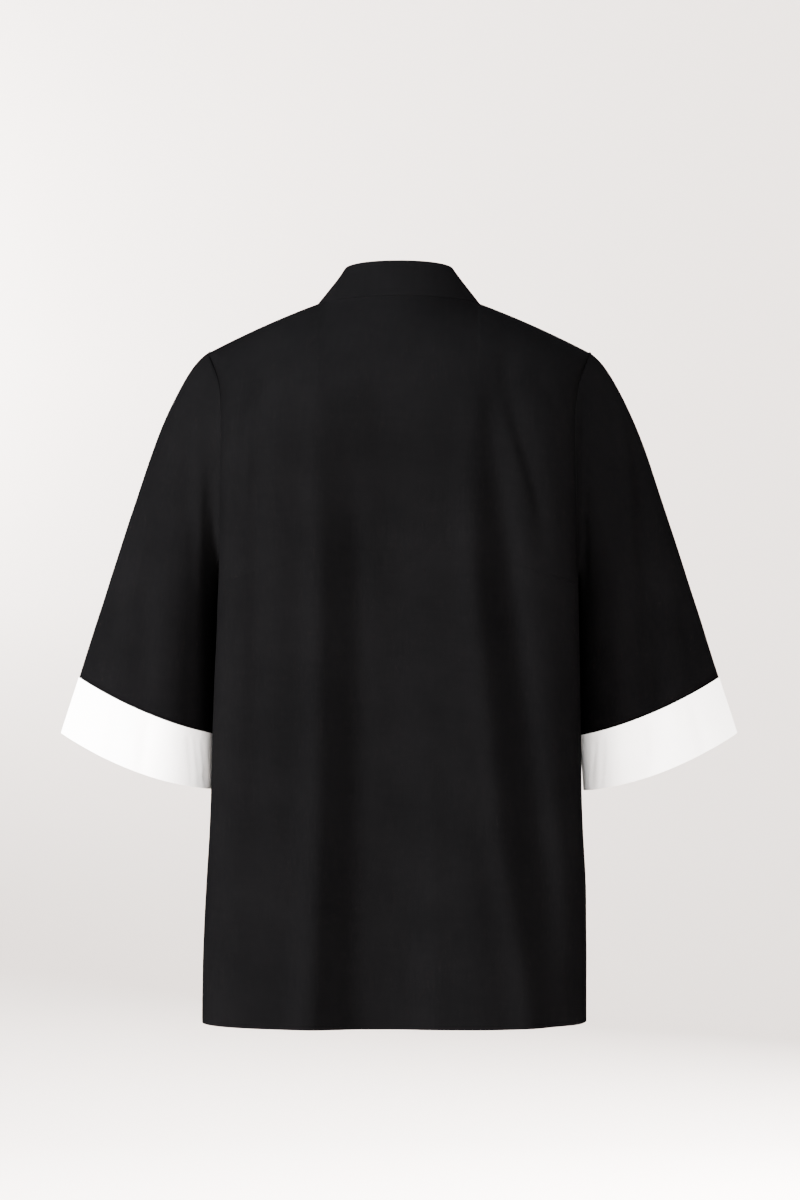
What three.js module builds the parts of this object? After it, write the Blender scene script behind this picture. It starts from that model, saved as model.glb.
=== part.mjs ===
// Kimono jacket with an open front, wide three-quarter sleeves and white cuff bands.
// It keeps the hollow form that it has when worn, and every piece is a wall of cloth.
// Millimetres. +Z is up, the front faces -Y and the wearer's left side is +X.
// The origin lies at the base of the neck, over the middle of the shoulder line.
import * as THREE from "three";

// Cloth
const CLOTH = 1.5; // one layer of plain black cotton
const BAND_CLOTH = 2.6; // the neckband is folded double over its seam allowances
const CUFF_CLOTH = 2.2; // the cuff is folded double
const CUFF_PROUD = 0.4; // how far a cuff stands out from its sleeve
const PANEL_SEAM = 0.5; // gap between the back and the fronts
const SLEEVE_SEAM = 0.5; // gap between a sleeve and the armhole
const CUFF_SEAM = 0.4; // gap between a sleeve and its cuff
const BAND_SEAM = 0.5; // gap between the neckband and the edge that carries it

// Body
const HEM = -754; // height of the hem at the middle
const HEM_RISE = 4; // how much higher the hem is at the sides
const NECK_HALF = 85; // half of the neck opening at the shoulder line
const NECK_TOP = 1; // height of the shoulder line at the neck
const NECK_BACK = 57; // how far back the neckline reaches
const NECK_BACK_RISE = 6; // how much higher the neckline is at the middle of the back
const TIP_HALF = 200; // half of the shoulder width, armhole to armhole
const SHOULDER_SLOPE = 0.374; // fall of the shoulder line, a straight share
const SHOULDER_BEND = 0.00065; // and a share that grows outwards
const UNDERARM = -299; // height of the underarm
const MIDDLE_Y = 28; // depth at which the body is widest
const SQUARENESS = 0.095; // 0 makes the body's section an ellipse, 0.11 flattens its back
const SIDE_SEAM_ANGLE = THREE.MathUtils.degToRad(-16); // the side seam lies a little to the front
const ARMHOLE_BACK = THREE.MathUtils.degToRad(27); // how far the armhole reaches into the back
const ARMHOLE_FRONT = THREE.MathUtils.degToRad(25); // and into the front
const SHOULDER_ROUNDING = 150; // height over which the shoulder rounds into the back and the front
const RIDGE_POWER = 1.8; // 2 makes that a quarter ellipse
const FRONT_NECK_POWER = 1.35; // beside the neck the fronts fall more steeply
const FRONT_NECK_WIDTH = 45; // width over which they round out
const NECK_JOIN_POWER = 2.5; // how closely the back follows the neck before it rounds out

// Half widths of the body as seen from behind
const SIDES = [
  { z: -51, left: 200, right: 200 },
  { z: -80, left: 188.5, right: 189 },
  { z: -110, left: 185.5, right: 184 },
  { z: -150, left: 185.5, right: 183 },
  { z: -250, left: 187.5, right: 186 },
  { z: -300, left: 189, right: 187.5 },
  { z: -450, left: 195, right: 190 },
  { z: -530, left: 197, right: 191.5 },
  { z: -600, left: 201, right: 195 },
  { z: -680, left: 204.8, right: 196 },
  { z: -754, left: 206, right: 196 },
];

// Depth of the back and of the fronts, and the seam that carries the band down the front
const DEPTHS = [
  { z: 0, back: 122, front: -124, bandSeam: 85 },
  { z: -180, back: 122, front: -126, bandSeam: 87 },
  { z: -420, back: 118, front: -120, bandSeam: 93 },
  { z: -600, back: 120, front: -120, bandSeam: 99 },
  { z: -754, back: 124, front: -124, bandSeam: 105 },
];

// Folds that hang from the shoulders. A row runs from its top through its middle to its foot, each at
// x and z. Its widths, to either side, and its depths are those at the top and the foot, and a depth
// below 0 stands out as a ridge.
const BACK_FOLDS = [
  { top: [8, -110], mid: [10, -400], foot: [12, -754], widths: [30, 40], depths: [2, 13] },
  { top: [84, -120], mid: [78, -400], foot: [96, -754], widths: [16, 26], depths: [-2, -5] },
  { top: [-76, -120], mid: [-72, -400], foot: [-84, -754], widths: [16, 30], depths: [-2, -5] },
  { top: [-98, -140], mid: [-125, -420], foot: [-168, -754], widths: [16, 24], depths: [4, 10] },
  { top: [148, -110], mid: [148, -330], foot: [154, -600], widths: [13, 20], depths: [4, 3] },
  { top: [132, -80], mid: [158, -120], foot: [164, -215], widths: [9, 12], depths: [3, 2] },
  { top: [-112, -90], mid: [-134, -150], foot: [-150, -235], widths: [10, 12], depths: [3, 2] },
];
const FRONT_FOLDS = [
  { top: [128, -190], mid: [132, -420], foot: [142, -754], widths: [12, 22], depths: [2, 8] },
  { top: [-120, -200], mid: [-128, -440], foot: [-134, -754], widths: [12, 20], depths: [2, 7] },
  { top: [160, -300], mid: [166, -500], foot: [176, -754], widths: [14, 18], depths: [-2, -5] },
  { top: [-156, -300], mid: [-160, -500], foot: [-168, -754], widths: [14, 18], depths: [-2, -5] },
];
const LEFT_SLEEVE_FOLDS = [
  { top: [252, -190], mid: [266, -290], foot: [268, -425], widths: [14, 20], depths: [2, 3] },
];
const RIGHT_SLEEVE_FOLDS = [
  { top: [-240, -125], mid: [-252, -210], foot: [-255, -450], widths: [10, 16], depths: [3, 5] },
];

const FOLD_END = 45; // length over which a fold dies out beyond its ends
const FOLD_SIDE = 0.35; // folds die out towards the body's side, below this sine of the section's angle

// Upper line of a sleeve, from the shoulder to the cuff, as seen from behind
const SLEEVE_TOP = [
  { x: 200, y: 0, z: -51 },
  { x: 211, y: 0, z: -58 },
  { x: 225.5, y: 0, z: -74 },
  { x: 239.5, y: -1, z: -103 },
  { x: 257.5, y: -3, z: -150 },
  { x: 299.5, y: -8, z: -276 },
  { x: 336.3, y: -12, z: -391 },
];

// Lower line of a sleeve and the ends of its cuff
const SLEEVES = {
  left: { underX: 188.5, cuffX: 193, cuffZ: -450.5, endX: 196.5, endZ: -509 },
  right: { underX: 186, cuffX: 190.5, cuffZ: -452, endX: 194.8, endZ: -510.5 },
};
const CUFF_TOP_END = { x: 355.5, y: -15, z: -450 };
const UNDERARM_Y = -24; // depth of the lower line at the underarm
const CUFF_Y = -34; // and at the cuff
const SLEEVE_DEPTH = 63; // half of the sleeve's depth
const SEAM_GROOVE = 14; // how much flatter the sleeve starts, below the edge of the back
const GROOVE_LENGTH = 0.11; // share of the sleeve over which it fills out
const GROOVE_TOP = 0.35; // it starts softly below the shoulder, where the sleeve turns this far
const GROOVE_FULL = 0.9; // and is full from here on
const CREASE = 0.75; // how sharply the upper fold is creased at the cuff
const JOIN = 0.3; // share of the sleeve over which the armhole's shape is lost
const CUFF_SAG = 6.5; // droop of the cuff seam between its two ends
const END_SAG = 9.5; // droop of the cuff's lower edge
const SIDE_CLEARANCE = 2.5; // the sleeve hangs this far off the body's side

// Neckband
const BAND_WIDTH = 45;
const BAND_LEAN_BACK = THREE.MathUtils.degToRad(32); // lean towards the neck at the back
const BAND_LEAN_SIDE = THREE.MathUtils.degToRad(39); // and above the shoulders
const BAND_FLAT_DROP = 150; // the band lies flat this far below the shoulder line
const BAND_FRONT_TURN = -0.2; // depth it gains for each millimetre across the chest
const NECK_AXIS_Y = 5;

// Grid of the cloth
const UPPER_ROWS = 12; // shoulder to underarm
const LOWER_ROWS = 10; // underarm to hem
const SHOULDER_COLUMNS = 16; // each side of the back
const NECK_COLUMNS = 16;
const FRONT_COLUMNS = 14;
const SLEEVE_ROWS = 12;
const CUFF_ROWS = 3;
const BAND_NECK_STEPS = 16;
const BAND_ROWS = 3;
const ARC_STEPS = 6; // finer steps for each column when a section is divided
const SECTION_RATIO = 1.9; // width of the body's section by its depth, for that

const { lerp, clamp, smoothstep } = THREE.MathUtils;
const ROWS = UPPER_ROWS + LOWER_ROWS;
const TIP_TOP = shoulderHeight(TIP_HALF);
const UNDERARM_SHARE = (TIP_TOP - UNDERARM) / (TIP_TOP - HEM);

// Value of a column of a table at a height, on a smooth curve through its rows.
function readTable(rows, z, column) {
  const last = rows.length - 1;
  if (z >= rows[0].z) return rows[0][column];
  if (z <= rows[last].z) return rows[last][column];
  const i = rows.findIndex((row) => row.z <= z) - 1;
  const slopeAt = (k) => {
    const from = rows[Math.max(k - 1, 0)];
    const to = rows[Math.min(k + 1, last)];
    return (to[column] - from[column]) / (to.z - from.z);
  };
  const span = rows[i + 1].z - rows[i].z;
  const t = (z - rows[i].z) / span;
  const bend = t * t * (3 - 2 * t);
  const straight = lerp(rows[i][column], rows[i + 1][column], bend);
  const ease = t * (1 - t) * span;
  return straight + ease * ((1 - t) * slopeAt(i) - t * slopeAt(i + 1));
}

// The body's section is a rounded box: an ellipse whose sine and cosine are squared up.
function squareUp(value) {
  return ((1 + 3 * SQUARENESS) * value - 4 * SQUARENESS * value ** 3) / (1 - SQUARENESS);
}

// The sine or cosine that squares up to a value.
function squareDown(value) {
  let result = clamp(value, -1, 1);
  for (let i = 0; i < 60; i++) {
    result = (value * (1 - SQUARENESS) + 4 * SQUARENESS * result ** 3) / (1 + 3 * SQUARENESS);
  }
  return clamp(result, -1, 1);
}

// Height of the shoulder line, or of the neckline between its ends.
function shoulderHeight(x) {
  const out = Math.abs(x) - NECK_HALF;
  if (out <= 0) return NECK_TOP + NECK_BACK_RISE * (1 - (x / NECK_HALF) ** 2);
  return NECK_TOP - SHOULDER_SLOPE * out - SHOULDER_BEND * out ** 2;
}

function hemHeight(x) {
  return HEM + HEM_RISE * Math.min(1, Math.abs(x) / TIP_HALF) ** 4;
}

// Place on the armhole, 0 at the shoulder and 1 at the underarm, at a height.
function armholePlace(z) {
  const share = clamp((TIP_TOP - z) / (TIP_TOP - UNDERARM), 0, 1);
  return Math.acos(1 - 2 * share) / Math.PI;
}

function backEdge(place) {
  return SIDE_SEAM_ANGLE * place + ARMHOLE_BACK * Math.sin(Math.PI * place);
}

function frontEdge(place) {
  return SIDE_SEAM_ANGLE * place - ARMHOLE_FRONT * Math.sin(Math.PI * place);
}

function halfWidth(side, z) {
  const seen = readTable(SIDES, z, side > 0 ? "left" : "right");
  return seen / squareUp(Math.cos(Math.max(0, backEdge(armholePlace(z)))));
}

// Share of the way from the shoulder line to the hem at a row of the grid.
function rowShare(row) {
  if (row <= UPPER_ROWS) return (UNDERARM_SHARE * (1 - Math.cos((Math.PI * row) / UPPER_ROWS))) / 2;
  return lerp(UNDERARM_SHARE, 1, ((row - UPPER_ROWS) / LOWER_ROWS) ** 1.15);
}

// How far a point seen at x and z is pushed in by a table of folds.
function foldDepth(folds, x, z) {
  let depth = 0;
  for (const { top, mid, foot, widths, depths } of folds) {
    const height = top[1] - foot[1];
    const t = clamp((top[1] - z) / height, 0, 1);
    const m = (top[1] - mid[1]) / height;
    const bow = (mid[0] - lerp(top[0], foot[0], m)) / (m * (1 - m));
    const lineX = lerp(top[0], foot[0], t) + bow * t * (1 - t);
    const beyond = Math.max(0, z - top[1], foot[1] - z) / FOLD_END;
    const away = Math.hypot((x - lineX) / lerp(widths[0], widths[1], t), beyond);
    depth += lerp(depths[0], depths[1], t) * Math.exp(-(away ** 2));
  }
  return depth;
}

// Point of the body's outer side. The angle is 90 degrees at the middle of the back, 0 where the body
// is widest and below 0 in front. The share is 0 at the shoulder line and 1 at the hem.
function bodyPoint(side, angle, share) {
  const across = squareUp(Math.cos(angle));
  const z = lerp(shoulderHeight(TIP_HALF * across), hemHeight(TIP_HALF * across), share);
  const x = halfWidth(side, z) * across;
  const isBack = angle > 0;
  const reach = readTable(DEPTHS, z, isBack ? "back" : "front") - MIDDLE_Y;
  const fullY = MIDDLE_Y + reach * squareUp(Math.sin(Math.abs(angle)));
  const drop = clamp((shoulderHeight(x) - z) / SHOULDER_ROUNDING, 0, 1);
  const steepness = isBack ? 1 : smoothstep(x, NECK_HALF, NECK_HALF + FRONT_NECK_WIDTH);
  const rounding = (1 - (1 - drop) ** 2) ** (1 / lerp(FRONT_NECK_POWER, RIDGE_POWER, steepness));
  const neckY = isBack ? NECK_BACK * Math.sqrt(Math.max(0, 1 - (x / NECK_HALF) ** 2)) : 0;
  const neckShare = Math.max(0, neckY / fullY) ** NECK_JOIN_POWER;
  const joined = neckShare + (1 - neckShare) * rounding ** NECK_JOIN_POWER;
  const y = fullY * joined ** (1 / NECK_JOIN_POWER);
  const clear = smoothstep(Math.abs(Math.sin(angle)), 0, FOLD_SIDE);
  const fold = foldDepth(isBack ? BACK_FOLDS : FRONT_FOLDS, side * x, z) * rounding * clear;
  return new THREE.Vector3(
    side * (x - fold * Math.cos(angle)),
    y - fold * Math.sin(angle),
    z,
  );
}

// Angle at which the body's section has a half width of x, at a share of the fall.
function angleAt(side, x, share) {
  const z = lerp(shoulderHeight(x), hemHeight(x), share);
  return Math.acos(squareDown(clamp(x / halfWidth(side, z), 0, 1)));
}

// Angles that divide the body's section evenly between two angles, both ends included.
function evenAngles(from, to, count) {
  const finer = ARC_STEPS * count;
  const angles = Array.from({ length: finer + 1 }, (_, i) => lerp(from, to, i / finer));
  const runs = [0];
  for (let i = 1; i <= finer; i++) {
    const across = squareUp(Math.cos(angles[i])) - squareUp(Math.cos(angles[i - 1]));
    const deep = squareUp(Math.sin(angles[i])) - squareUp(Math.sin(angles[i - 1]));
    runs.push(runs[i - 1] + Math.hypot(across * SECTION_RATIO, deep));
  }
  return Array.from({ length: count + 1 }, (_, k) => {
    const aim = (runs[finer] * k) / count;
    const i = clamp(runs.findIndex((run) => run >= aim), 1, finer);
    return lerp(angles[i - 1], angles[i], (aim - runs[i - 1]) / (runs[i] - runs[i - 1]));
  });
}

// Half width of the body's outer side at a depth and a height.
function bodySide(side, y, z) {
  const reach = readTable(DEPTHS, z, y > MIDDLE_Y ? "back" : "front") - MIDDLE_Y;
  const sine = squareDown(clamp((y - MIDDLE_Y) / reach, 0, 1));
  return halfWidth(side, z) * squareUp(Math.sqrt(1 - sine * sine));
}

// A closed wall behind a grid of outer points. The outer side is the one that the rows, turned towards
// the columns, face by the right-hand rule. A tube wraps its columns round.
function wall(grid, thickness, { wraps = false, proud = 0, edgeNormal = null } = {}) {
  const rows = grid.length;
  const columns = grid[0].length;
  const at = (i, j) => {
    const row = clamp(i, 0, rows - 1);
    const column = wraps ? (j + columns) % columns : clamp(j, 0, columns - 1);
    return grid[row][column];
  };
  const outer = [];
  const inner = [];
  for (let i = 0; i < rows; i++) {
    for (let j = 0; j < columns; j++) {
      const down = at(i + 1, j).clone().sub(at(i - 1, j));
      const along = at(i, j + 1).clone().sub(at(i, j - 1));
      const normal = (edgeNormal && edgeNormal(i, j)) || down.cross(along).normalize();
      outer.push(at(i, j).clone().addScaledVector(normal, proud));
      inner.push(at(i, j).clone().addScaledVector(normal, proud - thickness));
    }
  }
  const count = rows * columns;
  const faces = [];
  const quad = (a, b, c, d) => faces.push(a, b, c, a, c, d);
  const place = (i, j) => i * columns + (j % columns);
  const lastColumn = wraps ? columns : columns - 1;
  for (let i = 0; i < rows - 1; i++) {
    for (let j = 0; j < lastColumn; j++) {
      const [a, b, c, d] = [place(i, j), place(i + 1, j), place(i + 1, j + 1), place(i, j + 1)];
      quad(a, b, c, d);
      quad(count + a, count + d, count + c, count + b);
    }
  }
  const rim = (a, b) => quad(b, a, count + a, count + b);
  for (let j = 0; j < lastColumn; j++) {
    rim(place(0, j + 1), place(0, j));
    rim(place(rows - 1, j), place(rows - 1, j + 1));
  }
  for (let i = 0; i < rows - 1 && !wraps; i++) {
    rim(place(i, 0), place(i + 1, 0));
    rim(place(i + 1, columns - 1), place(i, columns - 1));
  }
  const geometry = new THREE.BufferGeometry();
  const points = [...outer, ...inner].flatMap((point) => point.toArray());
  geometry.setAttribute("position", new THREE.Float32BufferAttribute(points, 3));
  geometry.setIndex(faces);
  geometry.computeVertexNormals();
  return geometry;
}

// Direction square to the shoulder line, so that the two sides of a shoulder seam stay apart.
function shoulderNormal(x) {
  const out = Math.max(0, Math.abs(x) - NECK_HALF);
  const slope = SHOULDER_SLOPE + 2 * SHOULDER_BEND * out;
  return new THREE.Vector3(Math.sign(x) * slope, 0, 1).normalize();
}

// Angles of a row of the back, from the left armhole or side seam to the right one.
function backRow(row) {
  const share = rowShare(row);
  const place = Math.min(1, row / UPPER_ROWS);
  const evenness = smoothstep(share, 0, 0.25);
  const points = [];
  const shoulder = (side) => {
    const from = backEdge(place);
    const to = angleAt(side, NECK_HALF, share);
    const angles = evenAngles(from, to, SHOULDER_COLUMNS).slice(0, -1);
    return angles.map((angle) => bodyPoint(side, angle, share));
  };
  points.push(...shoulder(1));
  for (let j = 0; j <= NECK_COLUMNS; j++) {
    const even = 1 - (2 * j) / NECK_COLUMNS;
    const x = NECK_HALF * lerp(Math.cos((Math.PI * j) / NECK_COLUMNS), even, evenness);
    const side = x < 0 ? -1 : 1;
    points.push(bodyPoint(side, angleAt(side, Math.abs(x), share), share));
  }
  points.push(...shoulder(-1).reverse());
  return points;
}

function makeBack() {
  const grid = Array.from({ length: ROWS + 1 }, (_, row) => backRow(row));
  grid.flat().forEach((point) => (point.y += PANEL_SEAM / 2));
  const edgeNormal = (i, j) => {
    const x = grid[i][j].x;
    return i === 0 && Math.abs(x) >= NECK_HALF - 1 ? shoulderNormal(x) : null;
  };
  return wall(grid, CLOTH, { edgeNormal });
}

// Point of a front's inner edge, where the neckband is sewn on.
function frontInnerPoint(side, row) {
  const share = rowShare(row);
  const z = lerp(NECK_TOP, hemHeight(NECK_HALF), share);
  const x = readTable(DEPTHS, z, "bandSeam");
  return bodyPoint(side, -angleAt(side, x, share), share);
}

function makeFront(side) {
  const grid = [];
  for (let row = 0; row <= ROWS; row++) {
    const share = rowShare(row);
    const z = lerp(NECK_TOP, hemHeight(NECK_HALF), share);
    const from = -angleAt(side, readTable(DEPTHS, z, "bandSeam"), share);
    const to = frontEdge(Math.min(1, row / UPPER_ROWS));
    const points = evenAngles(from, to, FRONT_COLUMNS).map((angle) => bodyPoint(side, angle, share));
    if (side < 0) points.reverse();
    grid.push(points);
  }
  grid.flat().forEach((point) => (point.y -= PANEL_SEAM / 2));
  return wall(grid, CLOTH, { edgeNormal: (i, j) => (i === 0 ? shoulderNormal(grid[i][j].x) : null) });
}

// Point of the armhole's edge. The turn is 0 at the shoulder, half a turn at the underarm, and the back
// comes first.
function armholePoint(side, turn) {
  const isBack = turn <= Math.PI;
  const place = (isBack ? turn : 2 * Math.PI - turn) / Math.PI;
  const angle = isBack ? backEdge(place) : frontEdge(place);
  const point = bodyPoint(side, angle, (UNDERARM_SHARE * (1 - Math.cos(Math.PI * place))) / 2);
  point.x += side * SLEEVE_SEAM;
  return point;
}

// One ring of a sleeve or a cuff, hung between its upper and its lower line.
function hangingRing(side, turn, { top, bottom, depth, crease, sag }) {
  const t = (1 - Math.cos(turn)) / 2;
  const point = new THREE.Vector3().lerpVectors(top, bottom, t);
  const half = Math.abs(Math.sin(turn / 2));
  point.y += depth * Math.sin(turn) * half ** crease * (1 + 0.32 * crease);
  point.z -= sag * Math.sin(turn) ** 2;
  const folds = side > 0 ? LEFT_SLEEVE_FOLDS : RIGHT_SLEEVE_FOLDS;
  point.y -= foldDepth(folds, side * point.x, point.z) * Math.sin(turn);
  point.x = Math.max(point.x, bodySide(side, point.y, point.z) + SIDE_CLEARANCE);
  point.x *= side;
  return point;
}

const upperLine = new THREE.CatmullRomCurve3(
  SLEEVE_TOP.map(({ x, y, z }) => new THREE.Vector3(x, y, z)),
  false,
  "centripetal",
);

// Point of a sleeve at a share of its length.
function sleevePoint(side, turn, share) {
  const { underX, cuffX, cuffZ } = side > 0 ? SLEEVES.left : SLEEVES.right;
  const under = new THREE.Vector3(underX, UNDERARM_Y, UNDERARM - 2);
  const below = smoothstep(Math.abs(Math.sin(turn)), GROOVE_TOP, GROOVE_FULL);
  const groove = SEAM_GROOVE * below * Math.exp(-((share / GROOVE_LENGTH) ** 2));
  const hung = hangingRing(side, turn, {
    top: upperLine.getPointAt(share),
    bottom: under.lerp(new THREE.Vector3(cuffX, CUFF_Y, cuffZ), share),
    depth: SLEEVE_DEPTH - groove,
    crease: CREASE * share,
    sag: CUFF_SAG * share,
  });
  const joined = 1 - (1 - Math.min(1, share / JOIN)) ** 2;
  return armholePoint(side, turn).lerp(hung, joined);
}

// Point of a cuff at a share of its width.
function cuffPoint(side, turn, share) {
  const { cuffX, cuffZ, endX, endZ } = side > 0 ? SLEEVES.left : SLEEVES.right;
  const top = upperLine.getPointAt(1).lerp(new THREE.Vector3().copy(CUFF_TOP_END), share);
  const bottom = new THREE.Vector3(cuffX, CUFF_Y, cuffZ);
  bottom.lerp(new THREE.Vector3(endX, CUFF_Y, endZ), share);
  const sag = lerp(CUFF_SAG, END_SAG, share);
  return hangingRing(side, turn, { top, bottom, depth: SLEEVE_DEPTH, crease: CREASE, sag });
}

// Rings of a tube, one turn each, in the order that keeps its outer side out.
function tubeGrid(side, shares, pointAt) {
  const turns = Array.from({ length: 2 * UPPER_ROWS }, (_, j) => (Math.PI * j) / UPPER_ROWS);
  if (side < 0) turns.reverse();
  return shares.map((share) => turns.map((turn) => pointAt(side, turn, share)));
}

function makeSleeve(side) {
  const shares = Array.from({ length: SLEEVE_ROWS + 1 }, (_, i) => (i / SLEEVE_ROWS) ** 1.3);
  return wall(tubeGrid(side, shares, sleevePoint), CLOTH, { wraps: true });
}

function makeCuff(side) {
  const cuffLength = upperLine.getPointAt(1).distanceTo(new THREE.Vector3().copy(CUFF_TOP_END));
  const start = CUFF_SEAM / cuffLength;
  const shares = Array.from({ length: CUFF_ROWS + 1 }, (_, i) => lerp(start, 1, i / CUFF_ROWS));
  return wall(tubeGrid(side, shares, cuffPoint), CUFF_CLOTH, { wraps: true, proud: CUFF_PROUD });
}

// The seam that carries the neckband, from the left hem round the neck to the right hem.
function bandSeamPoints() {
  const points = [];
  for (let row = ROWS; row > 0; row--) points.push(frontInnerPoint(1, row));
  for (let step = 0; step <= BAND_NECK_STEPS; step++) {
    const x = NECK_HALF * Math.cos((Math.PI * step) / BAND_NECK_STEPS);
    const side = x < 0 ? -1 : 1;
    points.push(bodyPoint(side, angleAt(side, Math.abs(x), 0), 0));
  }
  for (let row = 1; row <= ROWS; row++) points.push(frontInnerPoint(-1, row));
  return points;
}

// Direction in which the band stands from its seam: up and towards the neck behind, flat on the chest
// in front.
function bandDirection(point, tangent) {
  const inward = new THREE.Vector3(-point.x, NECK_AXIS_Y - Math.max(point.y, NECK_AXIS_Y), 0).normalize();
  const sideShare = Math.min(1, Math.abs(point.x) / NECK_HALF) ** 2;
  const lean = lerp(BAND_LEAN_BACK, BAND_LEAN_SIDE, sideShare);
  const standing = inward.multiplyScalar(Math.sin(lean));
  standing.z = Math.cos(lean);
  const lying = new THREE.Vector3(-Math.sign(point.x), BAND_FRONT_TURN, 0);
  const flatness = point.y < 0 ? smoothstep(NECK_TOP - point.z, 0, BAND_FLAT_DROP) : 0;
  const direction = standing.lerp(lying, flatness);
  return direction.addScaledVector(tangent, -direction.dot(tangent)).normalize();
}

function makeNeckband() {
  const seam = bandSeamPoints();
  const grid = Array.from({ length: BAND_ROWS + 1 }, () => []);
  seam.forEach((point, i) => {
    const before = seam[Math.max(0, i - 1)];
    const after = seam[Math.min(seam.length - 1, i + 1)];
    const tangent = after.clone().sub(before).normalize();
    const direction = bandDirection(point, tangent);
    grid.forEach((row, r) => {
      const across = lerp(BAND_WIDTH, BAND_SEAM, r / BAND_ROWS);
      row.push(point.clone().addScaledVector(direction, across));
    });
  });
  return wall(grid, BAND_CLOTH);
}

const black = { color: 0x1c1c1e, roughness: 0.88, metalness: 0 };
const white = { color: 0xf4f3f1, roughness: 0.85, metalness: 0 };

const pieces = [
  { name: "back", geometry: makeBack(), finish: black },
  { name: "front_left", geometry: makeFront(1), finish: black },
  { name: "front_right", geometry: makeFront(-1), finish: black },
  { name: "sleeve_left", geometry: makeSleeve(1), finish: black },
  { name: "sleeve_right", geometry: makeSleeve(-1), finish: black },
  { name: "cuff_left", geometry: makeCuff(1), finish: white },
  { name: "cuff_right", geometry: makeCuff(-1), finish: white },
  { name: "neckband", geometry: makeNeckband(), finish: black },
];

const jacket = new THREE.Group();
for (const { name, geometry, finish } of pieces) {
  const mesh = new THREE.Mesh(geometry, new THREE.MeshStandardMaterial(finish));
  mesh.name = name;
  jacket.add(mesh);
}

export default jacket;
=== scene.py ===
"""A black kimono jacket with white cuff bands, hollow as worn, in a pale studio.

Every piece of cloth is grown from the outer skin of its own solid, draped with the folds that are listed here,
and given the thickness of its cloth. Metres, in the frame of the solids: +Z up, the front faces -Y.
"""

import logging
from dataclasses import dataclass
from enum import Enum
from math import atan2, cos, exp, hypot, pi, radians, sin, sqrt
from typing import Any, Optional, Union

import bmesh
import bpy
from mathutils import Matrix, Vector, noise
from mathutils.bvhtree import BVHTree
from mathutils.kdtree import KDTree


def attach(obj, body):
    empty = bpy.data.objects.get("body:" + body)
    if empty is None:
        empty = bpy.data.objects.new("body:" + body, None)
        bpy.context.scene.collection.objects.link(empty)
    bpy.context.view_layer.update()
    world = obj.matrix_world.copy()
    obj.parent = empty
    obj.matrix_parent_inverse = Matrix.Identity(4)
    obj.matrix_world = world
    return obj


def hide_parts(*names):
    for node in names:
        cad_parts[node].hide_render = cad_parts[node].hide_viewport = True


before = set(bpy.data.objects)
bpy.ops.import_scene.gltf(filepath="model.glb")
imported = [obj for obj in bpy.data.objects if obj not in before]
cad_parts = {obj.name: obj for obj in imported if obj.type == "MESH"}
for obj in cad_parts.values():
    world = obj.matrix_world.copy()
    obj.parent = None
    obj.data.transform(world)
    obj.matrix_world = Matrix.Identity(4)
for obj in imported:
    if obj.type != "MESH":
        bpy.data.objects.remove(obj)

Number = Union[int, float]
Point2 = tuple[float, float]
Triple = tuple[float, float, float]

log = logging.getLogger("kimono_jacket")

CUT_MAP = "cut"
STARTING_OBJECTS = ("Camera", "Cube", "Light")

# where a solid's skin ends at its rim, and which of its triangles make a quad
CREASE_ANGLE = radians(50)
QUAD_BEND = radians(40)
QUAD_SKEW = radians(60)
MERGE_DISTANCE = 0.00002

# a fold's profile: its steepness, and how many widths it reaches
FOLD_STEEPNESS = 3.2
FOLD_REACH = 1.6

# the slight unevenness of all the cloth
UNEVEN_SCALE = 22.0
UNEVEN_START = Vector((3.0, 7.0, 1.0))

# seams, in shares of their gap: how far off a neighbour is found, and how much of the gap is closed
SEAM_REACH = 2.5
SEAM_CLOSED = 0.7

# how strongly a tube is opened on the side of the body
BODY_SIDE_PULL = 40.0


class Face(Enum):
    """The side of the jacket on which a fold lies."""

    BACK = 1.0
    FRONT = -1.0


class Slot(Enum):
    """The cloths of the jacket, by their slot's name."""

    BLACK = "black_cotton"
    WHITE = "white_cotton"


def smoothstep(value: float, low: float, high: float) -> float:
    """Rise smoothly from 0 at one value to 1 at another.

    Args:
        value: Where to read the curve.
        low: Value at which it leaves 0.
        high: Value at which it reaches 1.

    Returns:
        A share from 0 to 1.
    """
    share = min(1.0, max(0.0, (value - low) / (high - low)))
    return share * share * (3.0 - 2.0 * share)


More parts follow.
